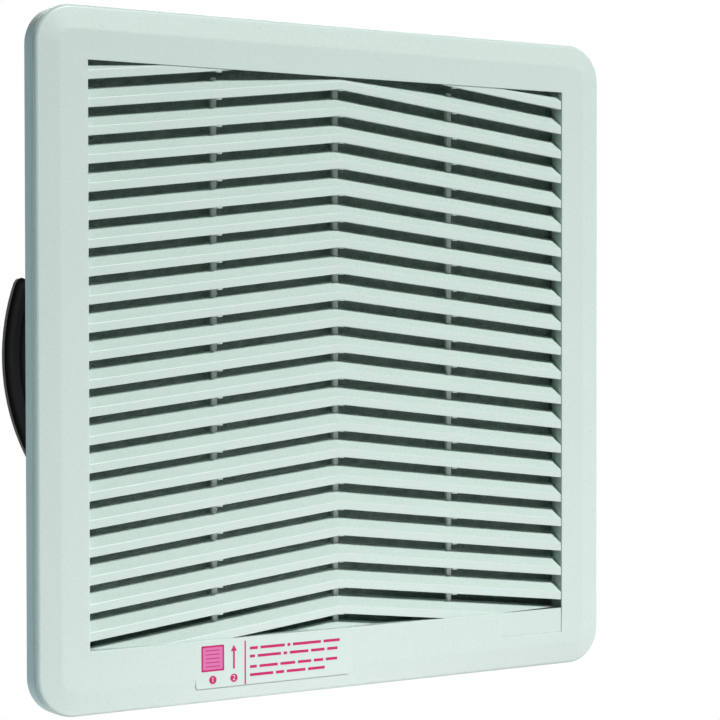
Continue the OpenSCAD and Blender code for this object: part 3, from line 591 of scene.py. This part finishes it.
class FAN_OT_cover_shell(bpy.types.Operator):
    """Moulded frame of the front cover: skirt, sloped band, flat face, collar and pocket"""

    bl_idname = "fan.cover_shell"
    bl_label = "Cover shell"

    def execute(self, context):
        size = context.scene.fan_cover
        half, corner = HALF, size.corner
        apron, border, edge = 4.0 * MM, 1.2 * MM, 0.3 * MM
        rim_y, lip_y = FACE_Y + size.crown, FACE_Y + size.recess
        seam_y = rim_y + size.rim + 0.3 * MM
        pocket_left, pocket_low = size.open_half - size.pocket_width, -size.open_bottom - size.pocket_height

        def outline(grow):
            x, top, bottom = size.open_half + grow, size.open_top + grow, -size.open_bottom - grow
            left, low = pocket_left - grow, pocket_low - grow
            return [(-x, FACE_Y, top), (x, FACE_Y, top), (x, FACE_Y, bottom), (x, FACE_Y, low),
                    (left, FACE_Y, low), (left, FACE_Y, bottom), (-x, FACE_Y, bottom)]

        bm = bmesh.new()
        run_round(bm, [(corner, seam_y), (corner, rim_y), (corner - size.band, FACE_Y),
                       (corner - size.band - apron, FACE_Y)], half - corner)
        inner = ring_edges(bm, size.band + apron, FACE_Y, half, corner)
        edge_loop = chain(bm, outline(0.0), closed=True)
        apron_loop = chain(bm, outline(border), closed=True)
        bmesh.ops.bridge_loops(bm, edges=edge_loop + apron_loop)
        bmesh.ops.triangle_fill(bm, use_beauty=True, use_dissolve=False, edges=inner + apron_loop,
                                normal=(0, -1, 0))

        # The wall round the opening is shallow at the top and in the pocket, and deep elsewhere
        walls = push(bm, edge_loop, (0, size.recess, 0))
        ring = [v for e in walls for v in e.verts]

        def corner_at(x, z):
            return next(v for v in ring if (v.co - Vector((x, lip_y, z))).length < SAME)

        pocket = [corner_at(x, z) for x, _, z in outline(0.0)[2:6]]
        across = bm.edges.new((pocket[0], pocket[3]))

        def is_shallow(e):
            at_top = all(abs(v.co.z - size.open_top) < SAME for v in e.verts)
            return at_top or all(v in pocket for v in e.verts)

        deep = [e for e in walls if not is_shallow(e)] + [across]
        push(bm, deep, (0, size.collar, 0))
        bmesh.ops.remove_doubles(bm, verts=bm.verts[:], dist=SAME)

        # The broad flat face looks to the front
        square_on = 0.9
        bmesh.ops.recalc_face_normals(bm, faces=bm.faces[:])
        flat = max(bm.faces, key=lambda f: f.calc_area() if abs(f.normal.y) > square_on else 0.0)
        if flat.normal.y > 0:
            bmesh.ops.reverse_faces(bm, faces=bm.faces[:])
        soften(bm, ring_edges(bm, 0.0, rim_y, half, corner), size.rim, segments=6)
        soften(bm, ring_edges(bm, size.band, FACE_Y, half, corner), size.ridge, segments=3)

        def rounded(point):
            return tuple(round(value, 6) for value in point)

        opening = {rounded(p) for p in outline(0.0)}
        soften(bm, [e for e in bm.edges if all(rounded(v.co) in opening for v in e.verts)], edge)
        shell = piece("cover_shell", bm, "grey_plastic", "cover", ["front_cover"], angle=40, outwards=False)
        thicken(shell, size.wall)
        even_shading(shell)

        bm = bmesh.new()
        run_round(bm, [(corner, rim_y + size.skirt), (corner, seam_y)], half - corner)
        # The skirt takes the darker finish: painted shade along the cover's narrow side
        skirt = piece("cover_skirt", bm, "grey_plastic", "cover", ["front_cover"], angle=40,
                      material=finishes()["skirt_painted_shade"])
        thicken(skirt, size.wall)

        bm = bmesh.new()
        overlap, proud = 1.0 * MM, 0.01 * MM
        block(bm, (pocket_left - overlap, lip_y - proud, pocket_low - overlap),
              (size.open_half + overlap, lip_y + size.wall, -size.open_bottom))
        piece("pocket_floor", bm, "grey_plastic", "cover", ["front_cover"])
        return {"FINISHED"}


class FAN_OT_louvre_slats(bpy.types.Operator):
    """Slats of the louvre, each bent at the middle and falling to both sides"""

    bl_idname = "fan.louvre_slats"
    bl_label = "Louvre slats"

    def execute(self, context):
        cover, slat = context.scene.fan_cover, context.scene.fan_slats
        front = FACE_Y + cover.recess
        overlap, bend = 0.6 * MM, 1.0 * MM
        reach = cover.open_half + overlap
        stations = [-reach, -2.0 * bend, -0.8 * bend, 0.0, 0.8 * bend, 2.0 * bend, reach]
        inside_lip = slat.lip - 0.6 * slat.wall
        section = [(0, 0), (0, slat.lip), (slat.depth, slat.height), (slat.depth, slat.height - slat.wall),
                   (slat.wall, inside_lip), (slat.wall, 0)]

        def fall(x):
            return -slat.slope * (math.hypot(x, bend) - bend)

        bm = bmesh.new()
        count = math.ceil(HALF / slat.pitch)
        for n in range(-count, count + 1):
            base = slat.phase + n * slat.pitch
            if base - slat.slope * reach > cover.open_top or base + slat.height < -cover.open_bottom:
                continue
            x0 = stations[0]
            run = chain(bm, [(x0, front + y, base + z + fall(x0)) for y, z in section], closed=True)
            for x1 in stations[1:]:
                run = push(bm, run, (x1 - x0, 0, fall(x1) - fall(x0)))
                x0 = x1
        bmesh.ops.holes_fill(bm, edges=[e for e in bm.edges if len(e.link_faces) == 1], sides=0)
        bmesh.ops.recalc_face_normals(bm, faces=bm.faces[:])
        along = [e for e in bm.edges if abs(e.verts[0].co.x - e.verts[1].co.x) > NEAR]
        soften(bm, along, slat.edge, segments=3)
        trim(bm, (0, front, cover.open_top), (0, slat.top_fall, 1))
        trim(bm, (0, front, -cover.open_bottom - overlap), (0, 0, -1))
        even_shading(piece("louvre_slats", bm, "grey_plastic", "cover", ["front_cover"], angle=35))
        return {"FINISHED"}


class FAN_OT_louvre_ribs(bpy.types.Operator):
    """Upright ribs behind the slats, with a short foot under every lip"""

    bl_idname = "fan.louvre_ribs"
    bl_label = "Louvre ribs"

    def execute(self, context):
        cover, slat = context.scene.fan_cover, context.scene.fan_slats
        front = FACE_Y + cover.recess
        overlap, spare, margin = 1.0 * MM, 0.5 * MM, 1.0 * MM
        to_right, set_back, edge = 0.4 * MM, 0.3 * MM, 0.1 * MM
        rib_y = front + slat.depth - overlap
        bm = bmesh.new()
        count = math.ceil(HALF / slat.pitch)
        for x in (-cover.open_half / 2, 0.0, cover.open_half / 2):
            left, right = x - slat.rib / 2 + to_right, x + slat.rib / 2 + to_right
            block(bm, (left, rib_y, -cover.open_bottom - spare),
                  (right, rib_y + slat.rib_depth, cover.open_top + spare))
            for n in range(-count, count + 1):
                z = slat.phase + n * slat.pitch - slat.slope * abs(x)
                if -cover.open_bottom + margin < z < cover.open_top - margin:
                    block(bm, (left, front + set_back, z - slat.foot),
                          (right, front + slat.wall, z + slat.lip / 2))
        soften(bm, bm.edges[:], edge, segments=1)
        trim(bm, (0, front, cover.open_top), (0, slat.top_fall, 1))
        piece("louvre_ribs", bm, "grey_plastic", "cover", ["front_cover"], angle=50)
        return {"FINISHED"}


class FAN_OT_label(bpy.types.Operator):
    """Clear label with a plain drawing of a grille and an arrow, and bars in place of words"""

    bl_idname = "fan.label"
    bl_label = "Label"

    def execute(self, context):
        label = context.scene.fan_label
        look = context.scene.fan_finishes
        film_y, tint_y, ink_y, number_y = (FACE_Y - n * label.layer for n in (1, 2, 3, 4))
        left, right, top, bottom = -label.left, label.right, -label.top, -label.bottom

        def at(x, z):
            return left + x * MM, top - z * MM

        def print_piece(name, bm, finish, paint, roughness):
            material = surface(finish, tuple(paint), tuple(paint), roughness, bump=0.05)
            piece(name, bm, "grey_plastic", "cover", material=material, outwards=False)

        bm = bmesh.new()
        stroke(bm, (left, (top + bottom) / 2), (right, (top + bottom) / 2), top - bottom, film_y)
        bmesh.ops.bevel(bm, geom=bm.verts[:], offset=label.rounding, offset_type="OFFSET", segments=5,
                        profile=0.5, affect="VERTICES", material=-1)
        print_piece("label_film", bm, "Label film", look.cover, 0.42)

        # A square grille seen from the front, in mm from the film's top left corner
        x0, x1, z0, z1 = 3.4, 14.8, 2.1, 13.5
        middle_x, middle_z = (x0 + x1) / 2, (z0 + z1) / 2
        bm = bmesh.new()
        stroke(bm, at(x0, middle_z), at(x1, middle_z), (z1 - z0) * MM, tint_y)
        print_piece("label_tint", bm, "Light print", look.tint, 0.45)
        bm = bmesh.new()
        square = [(middle_x, z0), (x1, z0), (x1, z1), (x0, z1), (x0, z0), (middle_x, z0)]
        bent_line(bm, [at(x, z) for x, z in square], label.outline, ink_y)
        steps, inset = 6, 1.8
        for n in range(1, steps):
            z = z0 + n * (z1 - z0) / steps
            stroke(bm, at(x0 + inset, z), at(x1 - inset, z), label.thin, ink_y)

        # An arrow upwards beside it, a numbered dot under each and a line before the words
        arrow_x, arrow_foot, arrow_neck, arrow_head = 20.6, 13.6, 5.0, 4.2
        stroke(bm, at(arrow_x, arrow_foot), at(arrow_x, arrow_neck), label.arrow, ink_y)
        disc(bm, at(arrow_x, arrow_head), label.dot, ink_y, corners=3)
        dots_z, divider_x, divider_top, divider_foot = 18.0, 26.8, 0.8, 21.6
        numbers = {"1": at(middle_x, dots_z), "2": at(arrow_x, dots_z)}
        for centre in numbers.values():
            disc(bm, centre, label.dot, ink_y)
        stroke(bm, at(divider_x, divider_top), at(divider_x, divider_foot), label.divider, ink_y)

        # Bars of the lengths that words have, in four rows
        words_x, gap = 29.4, 1.5
        rows = {4.6: (4.4, 13.6, 1.6, 16.0, 9.4), 8.5: (2.8, 13.0, 2.0, 10.6, 7.8, 6.0),
                13.5: (3.8, 10.2, 8.4, 7.6, 5.4, 6.6), 17.4: (13.0, 4.6, 10.6, 9.6)}
        for height, words in rows.items():
            x = words_x
            for word in words:
                stroke(bm, at(x, height), at(x + word, height), label.bar, ink_y)
                x += word + gap
        print_piece("label_ink", bm, "Print", look.ink, 0.4)

        bm = bmesh.new()
        for text, centre in numbers.items():
            numeral(bm, text, centre, label.number, number_y)
        print_piece("label_numbers", bm, "Label film", look.cover, 0.42)
        return {"FINISHED"}


class FAN_OT_cad_pieces(bpy.types.Operator):
    """The pieces that keep their CAD shape, with flat faces joined up and evenly shaded"""

    bl_idname = "fan.cad_pieces"
    bl_label = "CAD pieces"

    def execute(self, context):
        record = frame["record"]
        slots = {row["node"]: row["material_slot"] for row in record["subparts"]}
        flat, any_shape = math.radians(1), math.radians(180)
        for body, nodes in record["behaviour"]["bodies"].items():
            for node in nodes:
                if node == "front_cover":
                    continue
                bm = bmesh.new()
                bm.from_mesh(frame["nodes"][node].data)
                bmesh.ops.remove_doubles(bm, verts=bm.verts[:], dist=SAME)
                bmesh.ops.join_triangles(bm, faces=bm.faces[:], angle_face_threshold=flat,
                                         angle_shape_threshold=any_shape)
                even_shading(piece(node + "_look", bm, slots[node], body, [node], outwards=False))
        return {"FINISHED"}


class FAN_OT_stage(bpy.types.Operator):
    """White background, floor, lamps and camera"""

    bl_idname = "fan.stage"
    bl_label = "Stage"

    def execute(self, context):
        scene, look = context.scene, context.scene.fan_stage
        scene.view_settings.view_transform = "Standard"
        scene.world = white_background()
        floor = floor_plane(look)

        # Each lamp's name, place, aim, width, spread in degrees, power and tint
        rows = (
            ("key_lamp", from_angle(21, 38.5, 9.0), (0.385, 0, -0.58), 1.4, 36.6, look.key_power,
             (0.985, 1.0, 0.99)),
            ("fill_lamp", (0.02, -0.22, -0.44), (-0.06, 0, -0.17), 0.2, 70, look.fill_power,
             (1.0, 0.9, 0.97)),
            ("warm_lamp", (0.42, -0.5, -0.5), (0.12, 0, -0.1), 0.3, 120, look.warm_power,
             (1.0, 0.6, 0.86)),
            ("side_lamp", (-1.45, 0.42, -0.4), (0, 0, 0), 1.0, 180, look.side_power, (0.61, 0.87, 1.0)),
            ("back_lamp", (0.8, 1.8, 0.9), (0, 0, 0), 1.2, 180, look.back_power, (1.0, 1.0, 1.0)),
        )
        lamps = {row[0]: lamp(*row) for row in rows}
        lamps["warm_lamp"].visible_glossy = False
        scene.camera = photo_camera(look)
        return {"FINISHED"}


class FAN_PT_panel(bpy.types.Panel):
    """Lists the fan's pieces and settings"""

    bl_idname = "FAN_PT_panel"
    bl_label = "Filter fan"
    bl_space_type = "VIEW_3D"
    bl_region_type = "UI"
    bl_category = "Filter fan"

    def draw(self, context):
        for operator in OPERATORS:
            self.layout.operator(operator.bl_idname)
        for name in GROUPS:
            settings = getattr(context.scene, name)
            box = self.layout.box()
            for key in settings.bl_rna.properties.keys():
                if key not in {"rna_type", "name"}:
                    box.prop(settings, key)


OPERATORS = (FAN_OT_cad_pieces, FAN_OT_cover_shell, FAN_OT_louvre_slats, FAN_OT_louvre_ribs, FAN_OT_label,
             FAN_OT_stage)
GROUPS = {"fan_cover": CoverSizes, "fan_slats": SlatSizes, "fan_label": LabelSizes, "fan_finishes": Finishes,
          "fan_stage": StageLook}


def register():
    for cls in (*GROUPS.values(), *OPERATORS, FAN_PT_panel):
        bpy.utils.register_class(cls)
    for name, cls in GROUPS.items():
        setattr(bpy.types.Scene, name, bpy.props.PointerProperty(type=cls))


def unregister():
    for name in GROUPS:
        delattr(bpy.types.Scene, name)
    for cls in (FAN_PT_panel, *reversed(OPERATORS), *reversed(tuple(GROUPS.values()))):
        bpy.utils.unregister_class(cls)


def main():
    register()
    for operator in OPERATORS:
        group, name = operator.bl_idname.split(".")
        getattr(getattr(bpy.ops, group), name)()


if __name__ == "__main__":
    main()
